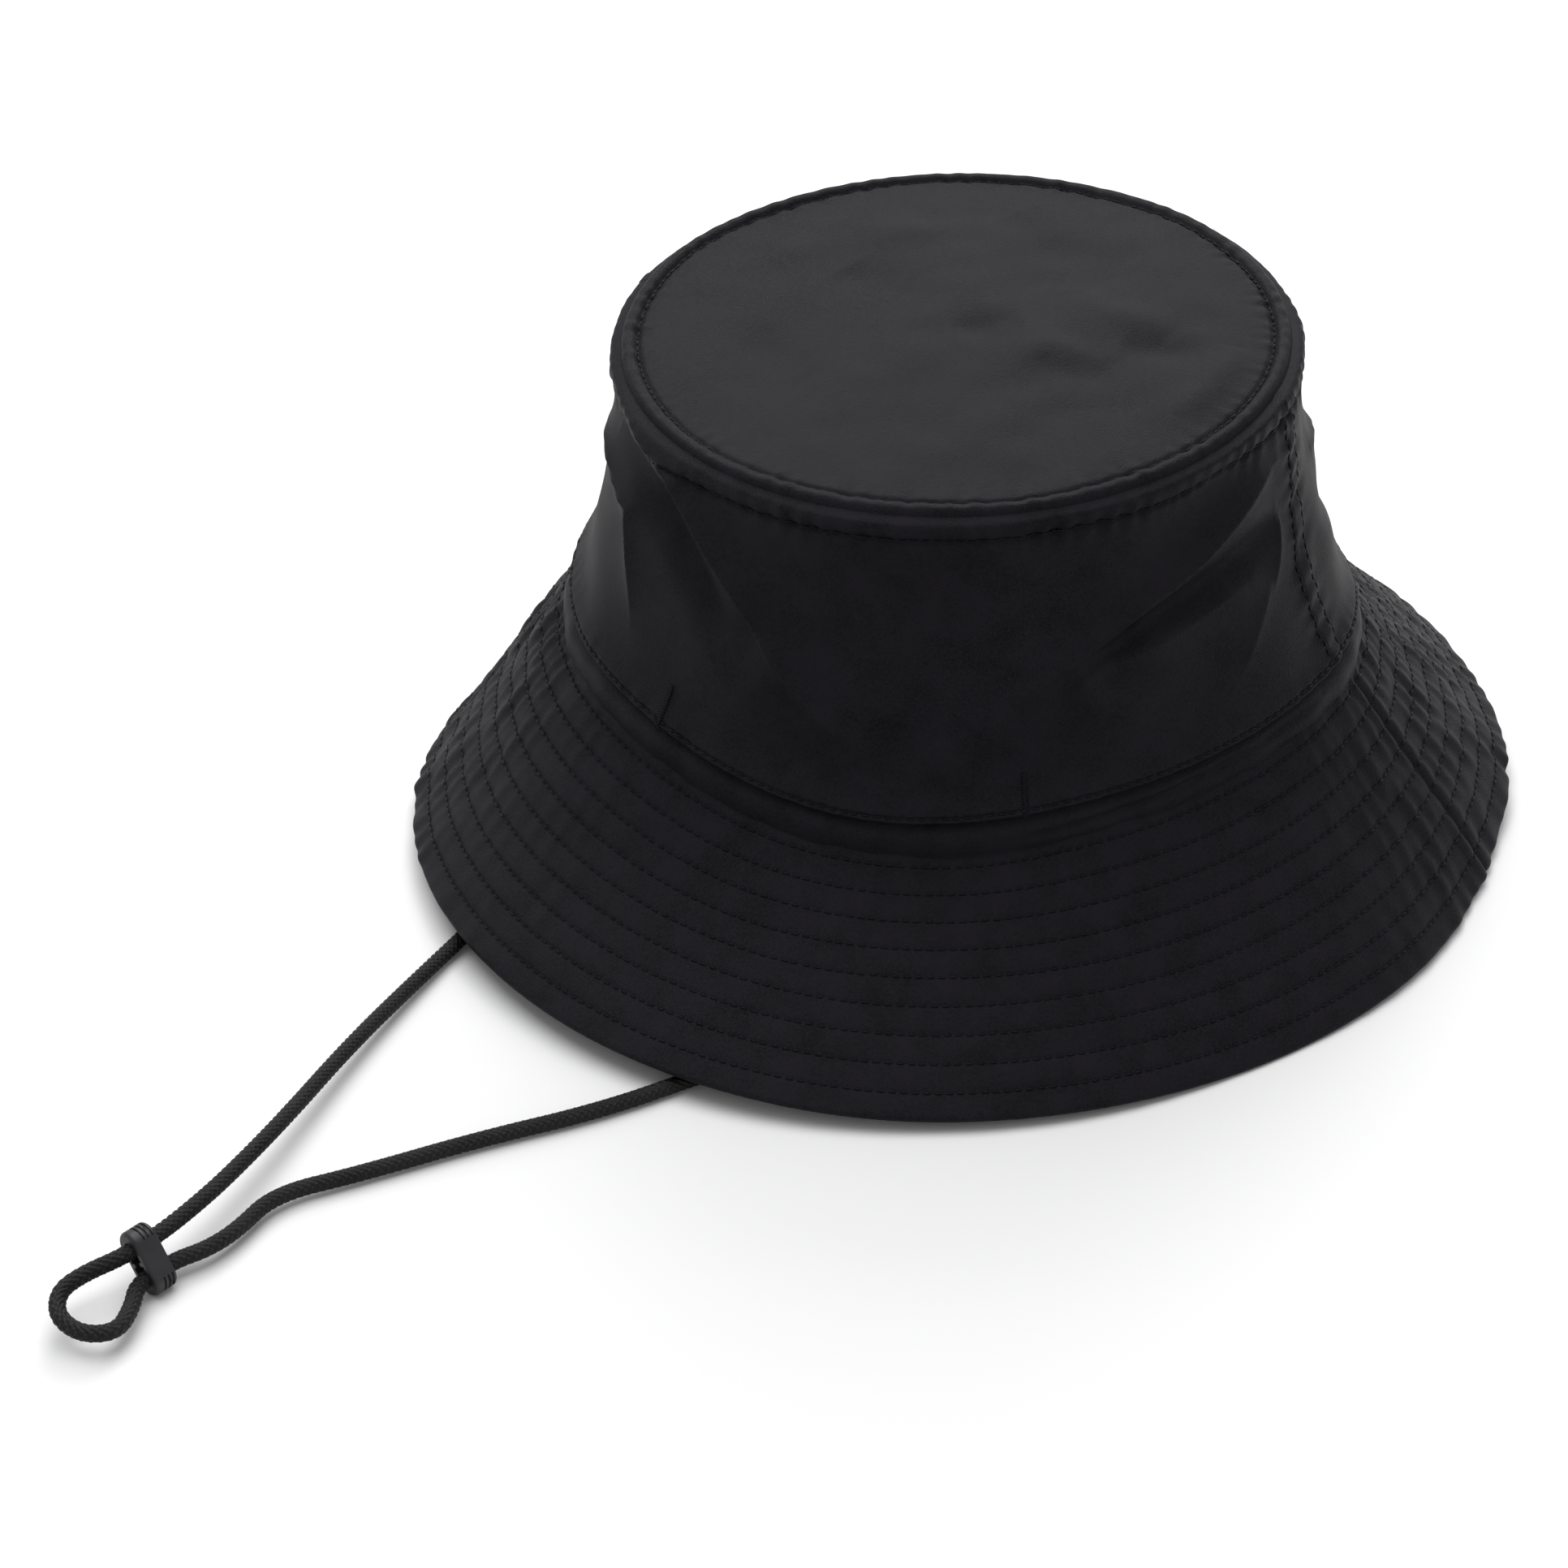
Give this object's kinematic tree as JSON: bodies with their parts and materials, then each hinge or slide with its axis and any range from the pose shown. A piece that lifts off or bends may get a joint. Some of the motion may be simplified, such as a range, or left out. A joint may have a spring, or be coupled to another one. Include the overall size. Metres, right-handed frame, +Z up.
{
  "type": "bucket hat",
  "caption": "Soft bucket hat with a quilted brim, a round braided chin cord and a sliding oblong cord lock, standing on its brim.",
  "frame": {"origin": "on the surface the hat stands on, under the middle of the head opening", "axes": "+Z up, -Y towards the back of the head, +X towards the right ear"},
  "size_m": [0.2674, 0.4039, 0.1313],
  "materials": {
    "shell_fabric": "matt fine twill",
    "interlining": "stiffened felt",
    "tape": "woven tape",
    "thread": "satin thread",
    "cord": "round braid",
    "lock_plastic": "moulded matt plastic"
  },
  "bodies": {
    "hat": {"crown_top": "shell_fabric", "crown_side_front": "shell_fabric", "crown_side_back": "shell_fabric", "base_band": "shell_fabric", "brim_top_front": "shell_fabric", "brim_top_back": "shell_fabric", "brim_under_front": "shell_fabric", "brim_under_back": "shell_fabric", "brim_interlining_front": "interlining", "brim_interlining_back": "interlining", "top_seam_tape": "tape", "side_seam_tape_right": "tape", "side_seam_tape_left": "tape", "sweatband": "tape", "adjuster_tape": "tape", "cord_anchor_left": "tape", "cord_anchor_right": "tape", "bartack_left": "thread", "bartack_right": "thread", "chin_cord": "cord"},
    "lock": {"cord_lock": "lock_plastic"}
  },
  "joints": [
    {"name": "cord_lock_slide", "type": "slide", "parent": "hat", "child": "lock", "axis": [0.3827, 0.9239, 0], "range_m": [-0.004, 0.03], "deforming": ["chin_cord"]}
  ]
}
